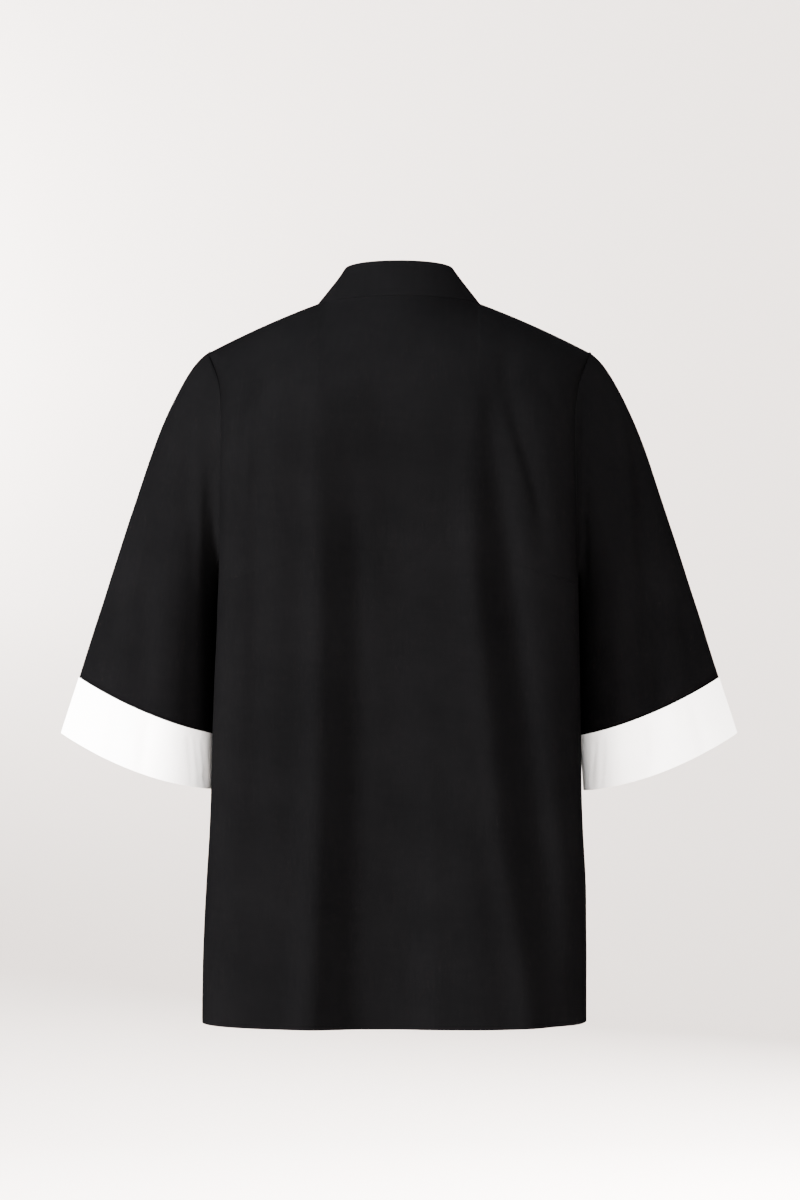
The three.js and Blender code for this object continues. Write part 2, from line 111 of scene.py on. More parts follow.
class Value:
    """A number that varies over a surface, written in Python expressions."""

    def __init__(self, shader: "Shader", socket: bpy.types.NodeSocket) -> None:
        """Wrap an output socket of a shader."""
        self.shader = shader
        self.socket = socket

    def maths(self, operation: str, *values: Union["Value", Number]) -> "Value":
        """Add one Math node.

        Args:
            operation: The node's operation.
            values: Its inputs in order.

        Returns:
            The node's result.
        """
        node = self.shader.node("ShaderNodeMath", {"operation": operation}, dict(enumerate(values)))
        return Value(self.shader, node.outputs[0])

    def __add__(self, other: Union["Value", Number]) -> "Value":
        """Return this value plus another."""
        return self.maths("ADD", self, other)

    def __radd__(self, other: Number) -> "Value":
        """Return a number plus this value."""
        return self.maths("ADD", other, self)

    def __sub__(self, other: Union["Value", Number]) -> "Value":
        """Return this value less another."""
        return self.maths("SUBTRACT", self, other)

    def __rsub__(self, other: Number) -> "Value":
        """Return a number less this value."""
        return self.maths("SUBTRACT", other, self)

    def __mul__(self, other: Union["Value", Number]) -> "Value":
        """Return this value times another."""
        return self.maths("MULTIPLY", self, other)

    def __rmul__(self, other: Number) -> "Value":
        """Return a number times this value."""
        return self.maths("MULTIPLY", other, self)

    def wave(self, length: float) -> "Value":
        """Return a sine of this value with the given wave length."""
        return self.maths("SINE", self * (2.0 * pi / length))

    def between(self, low: float, high: float) -> "Value":
        """Return this value as a smooth rise from 0 at low to 1 at high.

        Args:
            low: Value at which the rise starts.
            high: Value at which it ends.

        Returns:
            A share from 0 to 1.
        """
        settings = {"interpolation_type": "SMOOTHSTEP"}
        inputs = {"Value": self, "From Min": low, "From Max": high}
        return Value(self.shader, self.shader.node("ShaderNodeMapRange", settings, inputs).outputs["Result"])


class Shader:
    """The nodes of one material."""

    def __init__(self, name: str) -> None:
        """Start an empty material.

        Args:
            name: The material's name.
        """
        self.material = bpy.data.materials.new(name)
        self.material.use_nodes = True
        self.tree = self.material.node_tree
        self.tree.nodes.clear()

    def node(
        self, kind: str, settings: Optional[dict[str, Any]] = None, inputs: Optional[dict[Any, Any]] = None
    ) -> bpy.types.Node:
        """Add a node, give it its settings, then fill its sockets.

        Args:
            kind: The node's type.
            settings: Attributes of the node, set before its sockets.
            inputs: Sockets by name or number, each a Value, a socket or a constant.

        Returns:
            The new node.
        """
        node = self.tree.nodes.new(kind)
        for key, setting in (settings or {}).items():
            setattr(node, key, setting)
        for key, value in (inputs or {}).items():
            if isinstance(value, Value):
                value = value.socket
            if isinstance(value, bpy.types.NodeSocket):
                self.tree.links.new(value, node.inputs[key])
            else:
                node.inputs[key].default_value = value
        return node

    def noise(self, place: bpy.types.NodeSocket, scale: float, detail: float, roughness: float = 0.5) -> Value:
        """Add a noise pattern.

        Args:
            place: The coordinates that it reads.
            scale: Its number of features a unit.
            detail: Its octaves.
            roughness: The strength of the finer octaves.

        Returns:
            The pattern, near 0.5 on average.
        """
        inputs = {"Vector": place, "Scale": scale, "Detail": detail, "Roughness": roughness}
        return Value(self, self.node("ShaderNodeTexNoise", {"noise_dimensions": "3D"}, inputs).outputs[0])

    def mapped(self, place: bpy.types.NodeSocket, scale: Triple) -> bpy.types.NodeSocket:
        """Stretch coordinates.

        Args:
            place: The coordinates.
            scale: The factor along each axis.

        Returns:
            The stretched coordinates.
        """
        return self.node("ShaderNodeMapping", {"vector_type": "POINT"}, {"Vector": place, "Scale": scale}).outputs[0]

    def blend(self, share: Value, low: tuple[float, ...], high: tuple[float, ...]) -> bpy.types.NodeSocket:
        """Mix two colours.

        Args:
            share: 0 for the first, 1 for the second.
            low: First colour.
            high: Second colour.

        Returns:
            The mixed colour.
        """
        node = self.node("ShaderNodeMix", {"data_type": "RGBA"}, {"Factor": share})
        node.inputs[6].default_value = (*low, 1.0)
        node.inputs[7].default_value = (*high, 1.0)
        return node.outputs[2]

    def finish(self, surface: bpy.types.Node) -> bpy.types.Material:
        """Close the material with its surface shader.

        Args:
            surface: The shader node.

        Returns:
            The material.
        """
        self.node("ShaderNodeOutputMaterial", None, {"Surface": surface.outputs[0]})
        return self.material


@dataclass(frozen=True)
class Cotton:
    """A plain-weave cotton. The patterns lie on the piece's own cut, in metres."""

    name: str
    dark: Triple
    light: Triple
    thread: float = 0.0006
    weave_depth: float = 0.00008
    slub_depth: float = 0.00012
    crinkle_depth: float = 0.0003
    crinkle_size: float = 0.014
    roughness: float = 0.7
    specular: float = 0.0
    sheen: float = 0.0
    sheen_tint: Triple = (1.0, 1.0, 1.0)
    bump_strength: float = 0.6

    def material(self) -> bpy.types.Material:
        """Build the cloth's material: threads, thicker slubs, soft crinkles and an uneven dye.

        Returns:
            The material.
        """
        shader = Shader(self.name)
        cut = shader.node("ShaderNodeUVMap", {"uv_map": CUT_MAP}).outputs[0]
        split = shader.node("ShaderNodeSeparateXYZ", None, {0: cut})
        across, along = Value(shader, split.outputs[0]), Value(shader, split.outputs[1])

        wander = shader.noise(cut, 90.0, 2.0) * (self.thread * 1.6)
        weave = (across + wander).wave(2.0 * self.thread) * (along + wander).wave(2.0 * self.thread)
        warp_slubs = shader.noise(shader.mapped(cut, (900.0, 26.0, 1.0)), 1.0, 2.0)
        weft_slubs = shader.noise(shader.mapped(cut, (26.0, 900.0, 1.0)), 1.0, 2.0)
        crinkles = shader.noise(cut, 1.0 / self.crinkle_size, 3.0, 0.45)
        height = (
            weave * self.weave_depth + (warp_slubs + weft_slubs) * self.slub_depth + crinkles * self.crinkle_depth
        )
        bump = shader.node(
            "ShaderNodeBump", None, {"Strength": self.bump_strength, "Distance": 1.0, "Height": height}
        )

        dye = (shader.noise(cut, 11.0, 3.0) - 0.5) * 0.9 + (warp_slubs + weft_slubs - 1.0) * 0.5 + weave * 0.12 + 0.5
        inputs = {
            "Base Color": shader.blend(dye.between(0.0, 1.0), self.dark, self.light),
            "Roughness": self.roughness,
            "Sheen Weight": self.sheen,
            "Sheen Roughness": 0.45,
            "Sheen Tint": (*self.sheen_tint, 1.0),
            "Specular IOR Level": self.specular,
            "Normal": bump.outputs[0],
        }
        return shader.finish(shader.node("ShaderNodeBsdfPrincipled", None, inputs))


@dataclass(frozen=True)
class StudioPaper:
    """The pale seamless paper of the studio."""

    name: str = "studio_paper"
    colour: Triple = (0.82, 0.745, 0.70)
    glow: float = 0.45

    def material(self) -> bpy.types.Material:
        """Build a matt paper with a faint mottle.

        Returns:
            The material.
        """
        shader = Shader(self.name)
        place = shader.node("ShaderNodeTexCoord").outputs["Object"]
        mottle = shader.noise(place, 0.6, 2.0).between(0.2, 0.8)
        darker = tuple(c * 0.985 for c in self.colour)
        inputs = {
            "Base Color": shader.blend(mottle, darker, self.colour),
            "Roughness": 0.95,
            "Emission Color": (*self.colour, 1.0),
            "Emission Strength": self.glow,
        }
        return shader.finish(shader.node("ShaderNodeBsdfPrincipled", None, inputs))


@dataclass(frozen=True)
class Fold:
    """A soft trough, or a ridge if its depths are negative, along a line seen from behind or in front."""

    line: tuple[Point2, ...]
    widths: Point2
    depths: Point2
    face: Face = Face.BACK
    lean: float = 0.0
    ends: Point2 = (0.18, 0.18)

    def nearest(self, x: float, z: float) -> tuple[float, float]:
        """Find the place along the line that is nearest to a point.

        Args:
            x: The point's place across.
            z: Its height.

        Returns:
            The signed distance from the line, positive to its +X side, and the share of its length.
        """
        lengths = [hypot(b[0] - a[0], b[1] - a[1]) for a, b in zip(self.line, self.line[1:])]
        total, run = sum(lengths), 0.0
        best = (1e9, 0.0, 0.0)
        for (ax, az), (bx, bz), length in zip(self.line, self.line[1:], lengths):
            ux, uz = (bx - ax) / length, (bz - az) / length
            share = min(length, max(0.0, (x - ax) * ux + (z - az) * uz))
            gap = hypot(x - ax - ux * share, z - az - uz * share)
            side = (x - ax) * -uz + (z - az) * ux
            if gap < best[0]:
                best = (gap, side, (run + share) / total)
            run += length
        return (best[0] if best[1] >= 0.0 else -best[0]), best[2]

    def depth(self, x: float, z: float) -> float:
        """Give how deep the fold is at a point.

        Args:
            x: The point's place across.
            z: Its height.

        Returns:
            The depth in metres, below 0 on a ridge.
        """
        reach = FOLD_REACH * max(self.widths)
        xs, zs = [p[0] for p in self.line], [p[1] for p in self.line]
        if not (min(xs) - reach < x < max(xs) + reach and min(zs) - reach < z < max(zs) + reach):
            return 0.0
        gap, share = self.nearest(x, z)
        width = self.widths[0] + (self.widths[1] - self.widths[0]) * share
        across = gap / width
        if self.lean:
            across *= 1.0 + self.lean if across < 0.0 else 1.0 - self.lean
        profile = exp(-FOLD_STEEPNESS * across * across)
        start = smoothstep(share, 0.0, self.ends[0]) if self.ends[0] > 0.0 else 1.0
        end = smoothstep(1.0 - share, 0.0, self.ends[1]) if self.ends[1] > 0.0 else 1.0
        return (self.depths[0] + (self.depths[1] - self.depths[0]) * share) * profile * start * end


@dataclass
class ClothPiece:
    """One cut and sewn piece, a thin shell on the form of its own solid."""

    slot: Slot
    finish: bpy.types.Material
    node: str = ""
    thickness: float = 0.0015
    flat: Point2 = (1.0, 1.0)
    held: str = "hung"
    rests_on: tuple[str, ...] = ()
    area: Optional[float] = None
    levels: int = 2
    folds: tuple[Fold, ...] = ()
    seam_hold: float = 0.014
    unevenness: float = 0.0004
    free_below: float = -0.74
    joins: tuple[str, ...] = ()
    seam_gap: float = 0.0006
    allowance: Point2 = (0.0018, 0.002)
    allowance_top: float = 1.0
    allowance_blend: int = 16

    def skin(self) -> bmesh.types.BMesh:
        """Take the outer skin of the solid, with its triangles joined to quads.

        Returns:
            A mesh of the outer side alone.
        """
        mesh = bmesh.new()
        mesh.from_mesh(bpy.data.objects[self.node].data)
        bmesh.ops.remove_doubles(mesh, verts=mesh.verts, dist=MERGE_DISTANCE)
        middle = sum((vert.co for vert in mesh.verts), Vector()) / len(mesh.verts)
        waiting = set(mesh.faces)
        outer: list[bmesh.types.BMFace] = []
        most_outward = 0.0
        while waiting:
            patch, edge_of_patch = [], [waiting.pop()]
            while edge_of_patch:
                face = edge_of_patch.pop()
                patch.append(face)
                for edge in face.edges:
                    if len(edge.link_faces) == 2 and edge.calc_face_angle(0.0) < CREASE_ANGLE:
                        for neighbour in edge.link_faces:
                            if neighbour in waiting:
                                waiting.discard(neighbour)
                                edge_of_patch.append(neighbour)
            outward = sum(f.calc_area() * f.normal.dot(f.calc_center_median() - middle) for f in patch)
            if outward > most_outward:
                outer, most_outward = patch, outward
        kept = set(outer)
        bmesh.ops.delete(mesh, geom=[face for face in mesh.faces if face not in kept], context="FACES")
        bmesh.ops.join_triangles(
            mesh,
            faces=mesh.faces[:],
            angle_face_threshold=QUAD_BEND,
            angle_shape_threshold=QUAD_SKEW,
            topology_influence=1.5,
        )
        return mesh

    def opened(self, mesh: bmesh.types.BMesh) -> None:
        """Mark the line along which a tube is laid open. A flat piece has none.

        Args:
            mesh: The piece's skin.
        """

    def lay_flat(self, piece: bpy.types.Object) -> None:
        """Unwrap the piece to its cut and scale that to metres, with the grain upright.

        Args:
            piece: The piece's object, with its skin.
        """
        piece.data.uv_layers.new(name=CUT_MAP)
        for other in bpy.context.selected_objects:
            other.select_set(False)
        bpy.context.view_layer.objects.active = piece
        piece.select_set(True)
        bpy.ops.object.mode_set(mode="EDIT")
        bpy.ops.mesh.select_all(action="SELECT")
        bpy.ops.uv.unwrap(method="ANGLE_BASED", margin=0.0)
        bpy.ops.object.mode_set(mode="OBJECT")
        piece.select_set(False)

        mesh = bmesh.new()
        mesh.from_mesh(piece.data)
        cut = mesh.loops.layers.uv[CUT_MAP]
        surface, flat_area, lean = 0.0, 0.0, Vector((0.0, 0.0))
        for face in mesh.faces:
            places = [loop[cut].uv for loop in face.loops]
            area = 0.5 * sum(a.x * b.y - b.x * a.y for a, b in zip(places, places[1:] + places[:1]))
            surface += face.calc_area()
            flat_area += abs(area)
            for a, b in zip(face.loops, list(face.loops)[1:] + [face.loops[0]]):
                lean += (b[cut].uv - a[cut].uv) * (b.vert.co.z - a.vert.co.z)
        scale = sqrt(surface / flat_area)
        turn = Matrix.Rotation(pi / 2.0 - atan2(lean.y, lean.x), 2)
        for face in mesh.faces:
            for loop in face.loops:
                loop[cut].uv = turn @ loop[cut].uv * scale
        us = [loop[cut].uv.x for face in mesh.faces for loop in face.loops]
        vs = [loop[cut].uv.y for face in mesh.faces for loop in face.loops]
        log.info(
            "%s: cut %.3f x %.3f m, cloth %.4f m2", self.node, max(us) - min(us), max(vs) - min(vs), surface
        )
        mesh.to_mesh(piece.data)
        mesh.free()

    def drape(self, mesh: bmesh.types.BMesh) -> None:
        """Press the folds into the refined skin and hold it still at its seams.

        Args:
            mesh: The refined skin.
        """
        mesh.normal_update()
        rims = [edge for edge in mesh.edges if edge.is_boundary and not self.hangs_free(edge)]
        held = list({vert for edge in rims for vert in edge.verts})
        seams = KDTree(max(1, len(held)))
        for index, vert in enumerate(held):
            seams.insert(vert.co, index)
        seams.balance()
        moves = []
        for vert in mesh.verts:
            gap = seams.find(vert.co)[2] if held else 1.0
            free = smoothstep(gap if gap is not None else 1.0, 0.0, self.seam_hold)
            depth = 0.0
            if free > 0.0:
                for fold in self.folds:
                    facing = smoothstep(vert.normal.y * fold.face.value, 0.05, 0.4)
                    if facing > 0.0:
                        depth += fold.depth(vert.co.x, vert.co.z) * facing
                depth += self.unevenness * noise.noise(vert.co * UNEVEN_SCALE + UNEVEN_START)
            moves.append(vert.normal * (-depth * free))
        for vert, move in zip(mesh.verts, moves):
            vert.co += move

    def hangs_free(self, edge: bmesh.types.BMEdge) -> bool:
        """Tell a hem from a seam.

        Args:
            edge: An edge of the piece's rim.

        Returns:
            True on a hem, which is low and nearly level.
        """
        low, high = sorted(vert.co.z for vert in edge.verts)
        return high < self.free_below and high - low < 0.5 * edge.calc_length()

    def sewn_edges(self, mesh: bmesh.types.BMesh) -> list[bmesh.types.BMEdge]:
        """Find the edges of the rim that lie beside the pieces that this one is sewn to.

        Args:
            mesh: The draped skin.

        Returns:
            The edges of its seams.
        """
        trees = []
        for name in self.joins:
            solid = bpy.data.objects[name].data
            places = [vert.co for vert in solid.vertices]
            trees.append(BVHTree.FromPolygons(places, [polygon.vertices for polygon in solid.polygons]))
        reach = SEAM_REACH * self.seam_gap
        sewn = {
            vert
            for vert in mesh.verts
            if vert.is_boundary and any(tree.find_nearest(vert.co, reach)[0] for tree in trees)
        }
        return [edge for edge in mesh.edges if edge.is_boundary and sewn.issuperset(edge.verts)]

    @staticmethod
    def way_on(vert: bmesh.types.BMVert) -> Vector:
        """Tell which way the cloth would run on past its rim.

        Args:
            vert: A point of the rim.

        Returns:
            The direction, with no length at a corner.
        """
        inner = [edge.other_vert(vert).co for edge in vert.link_edges if not edge.other_vert(vert).is_boundary]
        return (vert.co - sum(inner, Vector()) / len(inner)).normalized() if inner else Vector()

    def turn_under(self, mesh: bmesh.types.BMesh) -> None:
        """Close the seams to the neighbours, and turn this piece's seam allowance under them.

        Args:
            mesh: The draped skin.
        """
        seam = self.sewn_edges(mesh)
        mesh.normal_update()
        ways = {}
        for vert in {vert for edge in seam for vert in edge.verts}:
            onward = self.way_on(vert)
            ways[vert] = (vert.normal * -self.allowance[0], onward * self.allowance[1])
            vert.co += onward * SEAM_CLOSED * self.seam_gap
        seam = [edge for edge in seam if max(vert.co.z for vert in edge.verts) < self.allowance_top]
        for _ in range(self.allowance_blend):
            blended = {}
            for vert, (down, onward) in ways.items():
                beside = [edge.other_vert(vert) for edge in vert.link_edges if edge.is_boundary]
                near = [ways[other][0] for other in beside if other in ways]
                blended[vert] = (sum(near, down.copy()) / (len(near) + 1), onward)
            ways = blended
        for step in range(2):
            made = bmesh.ops.extrude_edge_only(mesh, edges=seam)["geom"]
            seam = [part for part in made if isinstance(part, bmesh.types.BMEdge)]
            next_ways = {}
            for vert in (part for part in made if isinstance(part, bmesh.types.BMVert)):
                source = next(e.other_vert(vert) for e in vert.link_edges if e.other_vert(vert) in ways)
                vert.co += ways[source][step]
                next_ways[vert] = ways[source]
            ways = next_ways

    def evaluated(self, piece: bpy.types.Object) -> bpy.types.Mesh:
        """Return the mesh of an object with its modifiers applied."""
        return bpy.data.meshes.new_from_object(piece.evaluated_get(bpy.context.evaluated_depsgraph_get()))

    def refined(self, piece: bpy.types.Object) -> bpy.types.Mesh:
        """Subdivide the skin to a smooth surface that still passes through the solid's own points.

        Args:
            piece: The piece's object, with its skin.

        Returns:
            The smooth mesh.
        """
        smooth = piece.modifiers.new("smooth", "SUBSURF")
        smooth.levels = smooth.render_levels = self.levels
        smooth.boundary_smooth = "PRESERVE_CORNERS"
        aims = [vert.co.copy() for vert in piece.data.vertices]
        for _ in range(3):
            shrunk = self.evaluated(piece)
            for vert, aim, reached in zip(piece.data.vertices, aims, shrunk.vertices):
                vert.co += aim - reached.co
            bpy.data.meshes.remove(shrunk)
        result = self.evaluated(piece)
        piece.modifiers.clear()
        return result

    def build(self) -> bpy.types.Object:
        """Build, drape and dress the piece.

        Returns:
            The finished object.
        """
        skin = self.skin()
        self.opened(skin)
        data = bpy.data.meshes.new(self.node + "_cloth")
        skin.to_mesh(data)
        skin.free()
        piece = bpy.data.objects.new(self.node + "_cloth", data)
        bpy.context.scene.collection.objects.link(piece)
        self.lay_flat(piece)

        refined = self.refined(piece)
        mesh = bmesh.new()
        mesh.from_mesh(refined)
        self.drape(mesh)
        self.turn_under(mesh)
        mesh.to_mesh(piece.data)
        mesh.free()
        bpy.data.meshes.remove(refined)

        wall = piece.modifiers.new("wall", "SOLIDIFY")
        wall.thickness = self.thickness
        wall.offset = -1.0
        walled = self.evaluated(piece)
        piece.modifiers.clear()
        thin = piece.data
        piece.data = walled
        bpy.data.meshes.remove(thin)
        walled.name = self.node + "_cloth"
        for polygon in walled.polygons:
            polygon.use_smooth = True
        walled.set_sharp_from_angle(angle=CREASE_ANGLE)
        walled.materials.clear()
        walled.materials.append(self.finish)

        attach(piece, "root")
        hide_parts(self.node)
        log.info("%s: %d triangles", self.node, sum(len(p.vertices) - 2 for p in walled.polygons))
        return piece


@dataclass
class BackPanel(ClothPiece):
    """The back, whole from side seam to side seam. Two deep folds fall from the shoulder blades."""

    node: str = "back"
    joins: tuple[str, ...] = ("front_left", "front_right")
    allowance_top: float = -0.15
    flat: Point2 = (0.66, 0.81)
    area: Optional[float] = 0.43
    folds: tuple[Fold, ...] = (
        # the left fold: its crest, its steep right side and the hollow beside it
        Fold(
            ((0.086, -0.09), (0.083, -0.31), (0.087, -0.62), (0.094, -0.79)),
            (0.022, 0.027), (-3.4e-3, -6.2e-3), ends=(0.3, 0.0),
        ),
        Fold(
            ((0.045, -0.10), (0.042, -0.40), (0.046, -0.79)),
            (0.028, 0.032), (4.4e-3, 7.0e-3), ends=(0.3, 0.0),
        ),
        # the right fold, which runs out towards the side seam
        Fold(
            (
                (-0.068, -0.14), (-0.080, -0.31), (-0.093, -0.436),
                (-0.104, -0.562), (-0.127, -0.688), (-0.142, -0.79),
            ),
            (0.023, 0.029), (-4.4e-3, -6.2e-3), ends=(0.25, 0.0),
        ),
        Fold(
            ((-0.099, -0.15), (-0.112, -0.31), (-0.127, -0.436), (-0.142, -0.562), (-0.166, -0.70)),
            (0.020, 0.026), (5.2e-3, 6.8e-3), ends=(0.25, 0.2),
        ),
        # the shallow fold beside the left armhole
        Fold(((0.176, -0.13), (0.178, -0.33), (0.184, -0.60)), (0.012, 0.016), (-1.2e-3, -0.6e-3)),
        Fold(((0.152, -0.11), (0.150, -0.31), (0.147, -0.56)), (0.014, 0.020), (1.2e-3, 1.0e-3)),
        # soft drag lines under the shoulders
        Fold(
            ((0.130, -0.074), (0.1586, -0.1145), (0.1628, -0.146), (0.163, -0.225)),
            (0.008, 0.009), (1.3e-3, 0.7e-3),
        ),
        Fold(((0.167, -0.078), (0.176, -0.104), (0.179, -0.14)), (0.006, 0.006), (1.0e-3, 0.6e-3)),
        Fold(((-0.140, -0.070), (-0.158, -0.096), (-0.168, -0.128)), (0.008, 0.008), (1.1e-3, 0.7e-3)),
        Fold(((-0.110, -0.100), (-0.132, -0.166), (-0.148, -0.24)), (0.012, 0.011), (1.8e-3, 0.8e-3)),
        Fold(((-0.121, -0.138), (-0.149, -0.226)), (0.008, 0.008), (1.0e-3, 0.6e-3)),
        # the middle
        Fold(((0.030, -0.060), (0.020, -0.16), (0.012, -0.30)), (0.020, 0.026), (0.6e-3, 1.0e-3)),
        Fold(((-0.034, -0.42), (-0.040, -0.79)), (0.018, 0.022), (-0.6e-3, -1.6e-3), ends=(0.3, 0.0)),
        Fold(((-0.012, -0.60), (-0.008, -0.79)), (0.014, 0.018), (0.5e-3, 1.4e-3), ends=(0.4, 0.0)),
    )


@dataclass
class FrontPanel(ClothPiece):
    """One of the two fronts, from the shoulder to the hem beside the open middle."""

    flat: Point2 = (0.17, 0.81)
    area: Optional[float] = 0.107


@dataclass
class Tube(ClothPiece):
    """A piece that is sewn to a tube. It is laid open along the underside."""

    def opened(self, mesh: bmesh.types.BMesh) -> None:
        """Mark the tube's seam, from one open end to the other nearest to the body.

        Args:
            mesh: The piece's skin.
        """
        rims = [v for v in mesh.verts if v.is_boundary]
        start = min(rims, key=lambda v: abs(v.co.x))
        ring = {start}
        front = [start]
        while front:
            vert = front.pop()
            for edge in vert.link_edges:
                other = edge.other_vert(vert)
                if edge.is_boundary and other not in ring:
                    ring.add(other)
                    front.append(other)
        far = [v for v in rims if v not in ring]
        costs: dict[bmesh.types.BMVert, float] = {start: 0.0}
        came: dict[bmesh.types.BMVert, bmesh.types.BMEdge] = {}
        open_verts = {start}
        while open_verts:
            vert = min(open_verts, key=lambda v: costs[v])
            open_verts.discard(vert)
            for edge in vert.link_edges:
                other = edge.other_vert(vert)
                cost = costs[vert] + edge.calc_length() * (1.0 + BODY_SIDE_PULL * abs(other.co.x))
                if cost < costs.get(other, 1e9):
                    costs[other] = cost
                    came[other] = edge
                    open_verts.add(other)
        vert = min(far, key=lambda v: costs[v])
        while vert in came:
            came[vert].seam = True
            vert = came[vert].other_vert(vert)


@dataclass
class Sleeve(Tube):
    """A straight, wide sleeve."""

    flat: Point2 = (0.42, 0.40)
    area: Optional[float] = 0.108
    seam_hold: float = 0.006


@dataclass
class Cuff(Tube):
    """A band of doubled cloth on a sleeve's end."""

    flat: Point2 = (0.45, 0.062)
    thickness: float = 0.0022
    levels: int = 3
    seam_hold: float = 0.006
    unevenness: float = 0.0006
    edge_slope: float = 0.4
    edge_start: Point2 = (0.195, -0.48)

    def hangs_free(self, edge: bmesh.types.BMEdge) -> bool:
        """Tell the cuff's lower edge from its seam.

        Args:
            edge: An edge of the cuff's rim.

        Returns:
            True on the lower edge, which lies under a slanting line between the two.
        """
        middle = (edge.verts[0].co + edge.verts[1].co) / 2.0
        return middle.z < self.edge_slope * (abs(middle.x) - self.edge_start[0]) + self.edge_start[1]


@dataclass
class Neckband(ClothPiece):
    """The long doubled band round the neck and down both front edges."""

    node: str = "neckband"
    joins: tuple[str, ...] = ("back", "front_left", "front_right")
    flat: Point2 = (1.85, 0.045)
    held: str = "folded"
    thickness: float = 0.0026
    levels: int = 3
    seam_hold: float = 0.008
    folds: tuple[Fold, ...] = (
        Fold(
            ((0.074, 0.006), (0.0, 0.0105), (-0.074, 0.006)),
            (0.004, 0.004), (-0.5e-3, -0.5e-3), ends=(0.1, 0.1),
        ),
        Fold(((0.030, 0.044), (0.026, 0.012)), (0.010, 0.012), (0.5e-3, 0.3e-3)),
        Fold(((-0.040, 0.040), (-0.046, 0.010)), (0.009, 0.011), (0.5e-3, 0.3e-3)),
        Fold(((0.052, -0.22), (0.048, -0.34)), (0.020, 0.016), (-0.8e-3, 0.8e-3), Face.FRONT),
        Fold(((-0.050, -0.36), (-0.052, -0.56)), (0.018, 0.018), (0.9e-3, -0.7e-3), Face.FRONT),
        Fold(((0.058, -0.52), (0.060, -0.70)), (0.018, 0.014), (1.0e-3, 0.8e-3), Face.FRONT),
    )


# the folds of the pieces that come in pairs
LEFT_FRONT_FOLDS = (
    Fold(
        ((0.108, -0.10), (0.112, -0.42), (0.120, -0.79)),
        (0.014, 0.022), (1.2e-3, 3.4e-3), Face.FRONT, ends=(0.3, 0.0),
    ),
    Fold(
        ((0.134, -0.15), (0.140, -0.45), (0.146, -0.79)),
        (0.016, 0.022), (-1.2e-3, -3.0e-3), Face.FRONT, ends=(0.3, 0.0),
    ),
    Fold(((0.164, -0.13), (0.166, -0.40), (0.172, -0.70)), (0.013, 0.018), (2.4e-3, 1.6e-3), Face.FRONT),
    Fold(((0.150, -0.070), (0.160, -0.11), (0.165, -0.19)), (0.008, 0.009), (1.2e-3, 0.7e-3), Face.FRONT),
    Fold(((0.118, -0.075), (0.128, -0.16)), (0.010, 0.010), (1.0e-3, 0.8e-3), Face.FRONT),
)
RIGHT_FRONT_FOLDS = (
    Fold(
        ((-0.112, -0.12), (-0.118, -0.40), (-0.124, -0.79)),
        (0.016, 0.024), (-1.0e-3, -3.0e-3), Face.FRONT, ends=(0.3, 0.0),
    ),
    Fold(
        ((-0.140, -0.14), (-0.150, -0.44), (-0.158, -0.79)),
        (0.015, 0.024), (2.0e-3, 4.0e-3), Face.FRONT, ends=(0.25, 0.0),
    ),
    Fold(((-0.172, -0.16), (-0.176, -0.55)), (0.012, 0.014), (-1.4e-3, -0.8e-3), Face.FRONT),
    Fold(((-0.140, -0.066), (-0.156, -0.105), (-0.164, -0.16)), (0.008, 0.008), (1.2e-3, 0.7e-3), Face.FRONT),
    Fold(((-0.106, -0.070), (-0.120, -0.17)), (0.010, 0.012), (1.1e-3, 0.6e-3), Face.FRONT),
)
LEFT_SLEEVE_FOLDS = (
    Fold(
        ((0.2200, -0.082), (0.2300, -0.110), (0.2375, -0.150), (0.241, -0.21)),
        (0.008, 0.010), (-1.4e-3, -0.8e-3),
    ),
    Fold(((0.2140, -0.100), (0.2200, -0.15), (0.2230, -0.24)), (0.008, 0.012), (1.4e-3, 1.6e-3)),
    Fold(
        ((0.2060, -0.120), (0.2070, -0.25), (0.2100, -0.44)),
        (0.009, 0.013), (-1.6e-3, -3.0e-3), ends=(0.3, 0.0),
    ),
    Fold(((0.250, -0.20), (0.262, -0.30), (0.270, -0.43)), (0.014, 0.018), (1.4e-3, 2.2e-3), ends=(0.3, 0.0)),
    Fold(((0.276, -0.26), (0.296, -0.40)), (0.014, 0.016), (-0.8e-3, -1.4e-3), ends=(0.3, 0.0)),
    Fold(
        ((0.224, -0.15), (0.232, -0.28), (0.236, -0.40)),
        (0.014, 0.020), (1.6e-3, 2.6e-3), Face.FRONT, ends=(0.3, 0.0),
    ),
    Fold(
        ((0.246, -0.17), (0.262, -0.30), (0.270, -0.42)),
        (0.014, 0.018), (-1.0e-3, -1.6e-3), Face.FRONT, ends=(0.3, 0.0),
    ),
    Fold(((0.284, -0.28), (0.304, -0.41)), (0.012, 0.014), (1.0e-3, 1.4e-3), Face.FRONT, ends=(0.3, 0.0)),
)
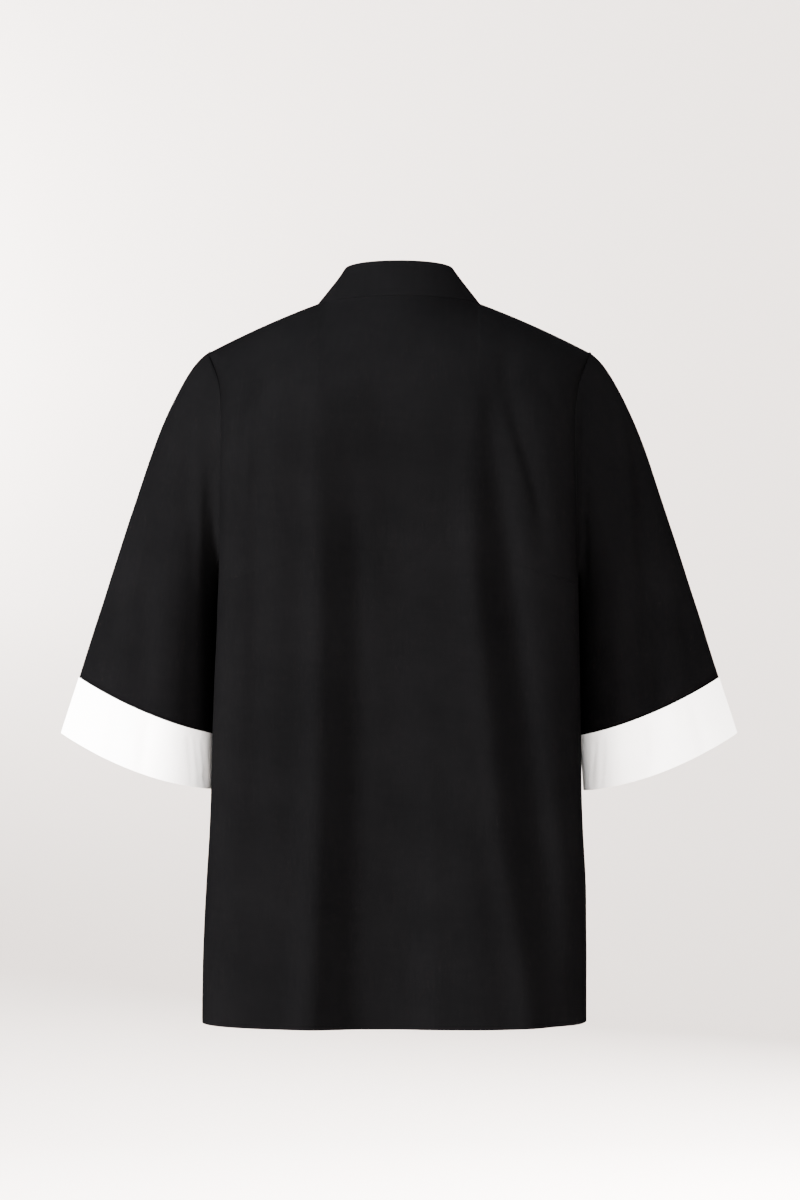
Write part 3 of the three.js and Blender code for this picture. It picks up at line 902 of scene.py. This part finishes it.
RIGHT_SLEEVE_FOLDS = (
    Fold(
        ((-0.2210, -0.085), (-0.2300, -0.121), (-0.2360, -0.156), (-0.2400, -0.30)),
        (0.010, 0.014), (-2.4e-3, -3.0e-3), ends=(0.18, 0.3),
    ),
    Fold(
        ((-0.2470, -0.125), (-0.2570, -0.194), (-0.2620, -0.33), (-0.2640, -0.46)),
        (0.016, 0.020), (4.6e-3, 7.0e-3), ends=(0.15, 0.0),
    ),
    Fold(((-0.2300, -0.25), (-0.2320, -0.44)), (0.014, 0.016), (-1.2e-3, -2.0e-3), ends=(0.3, 0.0)),
    Fold(((-0.1960, -0.181), (-0.2300, -0.147)), (0.005, 0.005), (0.8e-3, 0.5e-3)),
    Fold(
        ((-0.1950, -0.082), (-0.1935, -0.13), (-0.1945, -0.33)),
        (0.006, 0.007), (2.4e-3, 3.0e-3), ends=(0.1, 0.3),
    ),
    Fold(((-0.280, -0.25), (-0.298, -0.41)), (0.014, 0.018), (-1.4e-3, -2.2e-3), ends=(0.3, 0.0)),
    Fold(
        ((-0.222, -0.14), (-0.228, -0.27), (-0.232, -0.40)),
        (0.013, 0.018), (1.8e-3, 2.4e-3), Face.FRONT, ends=(0.3, 0.0),
    ),
    Fold(
        ((-0.250, -0.18), (-0.266, -0.31), (-0.278, -0.42)),
        (0.014, 0.018), (-1.2e-3, -2.0e-3), Face.FRONT, ends=(0.3, 0.0),
    ),
)
LEFT_CUFF_FOLDS = (
    Fold(((0.2205, -0.450), (0.2165, -0.506)), (0.0035, 0.003), (0.8e-3, 0.6e-3), ends=(0.1, 0.1)),
    Fold(((0.2130, -0.452), (0.2080, -0.508)), (0.003, 0.003), (0.7e-3, 0.8e-3), ends=(0.1, 0.1)),
    Fold(((0.2065, -0.456), (0.2020, -0.508)), (0.003, 0.0035), (0.7e-3, 0.8e-3), ends=(0.1, 0.1)),
    Fold(((0.2050, -0.490), (0.2020, -0.502)), (0.005, 0.005), (1.2e-3, 1.2e-3), ends=(0.3, 0.3)),
    Fold(((0.262, -0.430), (0.270, -0.492)), (0.010, 0.012), (0.8e-3, 1.0e-3), ends=(0.2, 0.0)),
    Fold(((0.300, -0.410), (0.312, -0.470)), (0.010, 0.012), (-0.5e-3, -0.8e-3), ends=(0.2, 0.0)),
    Fold(((0.236, -0.440), (0.232, -0.505)), (0.008, 0.009), (0.9e-3, 0.9e-3), Face.FRONT, ends=(0.2, 0.0)),
    Fold(((0.284, -0.420), (0.294, -0.485)), (0.010, 0.012), (-0.7e-3, 0.9e-3), Face.FRONT, ends=(0.2, 0.0)),
)
RIGHT_CUFF_FOLDS = (
    Fold(((-0.2575, -0.436), (-0.2590, -0.482)), (0.008, 0.009), (1.4e-3, 1.2e-3), ends=(0.2, 0.2)),
    Fold(((-0.2705, -0.420), (-0.2850, -0.436)), (0.003, 0.003), (0.5e-3, 0.4e-3), ends=(0.2, 0.2)),
    Fold(((-0.2060, -0.456), (-0.2020, -0.508)), (0.0035, 0.003), (0.7e-3, 0.6e-3), ends=(0.1, 0.1)),
    Fold(((-0.2140, -0.454), (-0.2120, -0.508)), (0.004, 0.0035), (0.5e-3, 0.6e-3), ends=(0.1, 0.1)),
    Fold(((-0.304, -0.408), (-0.320, -0.464)), (0.010, 0.013), (0.6e-3, 0.9e-3), ends=(0.2, 0.0)),
    Fold(((-0.232, -0.442), (-0.230, -0.505)), (0.008, 0.010), (0.9e-3, 0.7e-3), Face.FRONT, ends=(0.2, 0.0)),
    Fold(((-0.280, -0.422), (-0.286, -0.488)), (0.010, 0.010), (0.9e-3, -0.8e-3), Face.FRONT, ends=(0.2, 0.0)),
)


@dataclass(frozen=True)
class Lamp:
    """A soft square lamp, by default aimed at the jacket."""

    name: str
    place: Triple
    size: float
    power: float
    aim: Triple = (0.0, 0.0, -0.4)

    def hang(self) -> bpy.types.Object:
        """Hang the lamp and turn it to its aim.

        Returns:
            The lamp.
        """
        data = bpy.data.lights.new(self.name, "AREA")
        data.size = self.size
        data.energy = self.power
        lamp = bpy.data.objects.new(self.name, data)
        lamp.location = self.place
        lamp.rotation_euler = (Vector(self.aim) - Vector(self.place)).to_track_quat("-Z", "Y").to_euler()
        bpy.context.scene.collection.objects.link(lamp)
        return lamp


@dataclass
class Studio:
    """The pale sweep of paper, the soft lamps and the camera behind the jacket."""

    paper: bpy.types.Material
    floor: float = -1.46
    flat_radius: float = 5.0
    wall_radius: float = 13.0
    wall_height: float = 6.0
    camera_place: Triple = (-0.001, 7.0, -0.310)
    lens: float = 200.0
    world_colour: Triple = (0.97, 0.96, 0.95)
    world_strength: float = 0.5
    rise_steps: int = 10
    turn_steps: int = 48
    lamps: tuple[Lamp, ...] = (
        Lamp("key", (5.2, 2.7, 1.6), 2.4, 4200.0),
        Lamp("fill", (-1.0, 6.6, 0.9), 1.4, 480.0),
        Lamp("top", (-0.9, 2.4, 3.7), 2.4, 900.0),
        Lamp("front_key", (-2.0, -5.6, 1.6), 2.4, 3000.0),
        Lamp("wall_behind", (3.2, -10.0, 0.5), 1.6, 1750.0, (0.9, -13.0, -0.35)),
        Lamp("wall_before", (-2.5, 7.5, 2.4), 2.4, 900.0, (0.0, 13.0, 0.0)),
    )

    def sweep(self) -> bpy.types.Object:
        """Build the floor, curved up into a round wall, with one spin.

        Returns:
            The sweep, marked as stage.
        """
        mesh = bmesh.new()
        profile = [(self.flat_radius * share, self.floor) for share in (0.0, 0.5, 1.0)]
        for step in range(1, self.rise_steps + 1):
            turn = pi / 2.0 * step / self.rise_steps
            profile.append(
                (
                    self.flat_radius + (self.wall_radius - self.flat_radius) * sin(turn),
                    self.floor + self.wall_height * (1.0 - cos(turn)),
                )
            )
        verts = [mesh.verts.new((radius, 0.0, height)) for radius, height in profile]
        edges = [mesh.edges.new(pair) for pair in zip(verts, verts[1:])]
        bmesh.ops.spin(
            mesh,
            geom=[*verts, *edges],
            cent=(0.0, 0.0, 0.0),
            axis=(0.0, 0.0, 1.0),
            angle=2.0 * pi,
            steps=self.turn_steps,
            use_merge=True,
            use_duplicate=False,
        )
        bmesh.ops.remove_doubles(mesh, verts=mesh.verts, dist=0.001)
        bmesh.ops.recalc_face_normals(mesh, faces=mesh.faces)
        if sum(face.normal.z for face in mesh.faces) < 0.0:
            bmesh.ops.reverse_faces(mesh, faces=mesh.faces)
        data = bpy.data.meshes.new("studio_sweep")
        mesh.to_mesh(data)
        mesh.free()
        for polygon in data.polygons:
            polygon.use_smooth = True
        data.materials.append(self.paper)
        piece = bpy.data.objects.new("studio_sweep", data)
        bpy.context.scene.collection.objects.link(piece)
        return piece

    def camera(self) -> bpy.types.Object:
        """Set up the camera, level and straight behind the jacket.

        Returns:
            The camera.
        """
        data = bpy.data.cameras.new("camera")
        data.lens = self.lens
        data.sensor_width = 36.0
        camera = bpy.data.objects.new("camera", data)
        camera.location = self.camera_place
        camera.rotation_euler = Vector((0.0, -1.0, 0.0)).to_track_quat("-Z", "Y").to_euler()
        bpy.context.scene.collection.objects.link(camera)
        bpy.context.scene.camera = camera
        return camera

    def build(self) -> None:
        """Set up the world, the sweep, the lamps and the camera."""
        world = bpy.data.worlds.new("studio_air")
        world.use_nodes = True
        background = world.node_tree.nodes["Background"]
        background.inputs["Color"].default_value = (*self.world_colour, 1.0)
        background.inputs["Strength"].default_value = self.world_strength
        bpy.context.scene.world = world
        self.sweep()
        for lamp in self.lamps:
            lamp.hang()
        self.camera()


def main() -> None:
    """Build the studio and the jacket, piece by piece, and report each."""
    logging.basicConfig(level=logging.INFO, format="%(message)s")
    for name in STARTING_OBJECTS:
        if name in bpy.data.objects:
            bpy.data.objects.remove(bpy.data.objects[name])
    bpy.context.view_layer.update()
    black = Cotton("black_cotton", (0.00105, 0.00105, 0.00114), (0.00172, 0.00168, 0.00181)).material()
    white = Cotton(
        "white_cotton", (0.86, 0.85, 0.84), (0.93, 0.92, 0.915), crinkle_depth=0.0006, crinkle_size=0.012, sheen=0.05
    ).material()
    pieces = [
        BackPanel(Slot.BLACK, black),
        FrontPanel(Slot.BLACK, black, "front_left", folds=LEFT_FRONT_FOLDS),
        FrontPanel(Slot.BLACK, black, "front_right", folds=RIGHT_FRONT_FOLDS),
        Sleeve(
            Slot.BLACK, black, "sleeve_left", folds=LEFT_SLEEVE_FOLDS, joins=("back", "front_left", "cuff_left")
        ),
        Sleeve(
            Slot.BLACK, black, "sleeve_right", folds=RIGHT_SLEEVE_FOLDS, joins=("back", "front_right", "cuff_right")
        ),
        Cuff(Slot.WHITE, white, "cuff_left", folds=LEFT_CUFF_FOLDS),
        Cuff(Slot.WHITE, white, "cuff_right", folds=RIGHT_CUFF_FOLDS),
        Neckband(Slot.BLACK, black),
    ]
    for piece in pieces:
        piece.build()
    Studio(StudioPaper().material()).build()


if __name__ == "__main__":
    main()
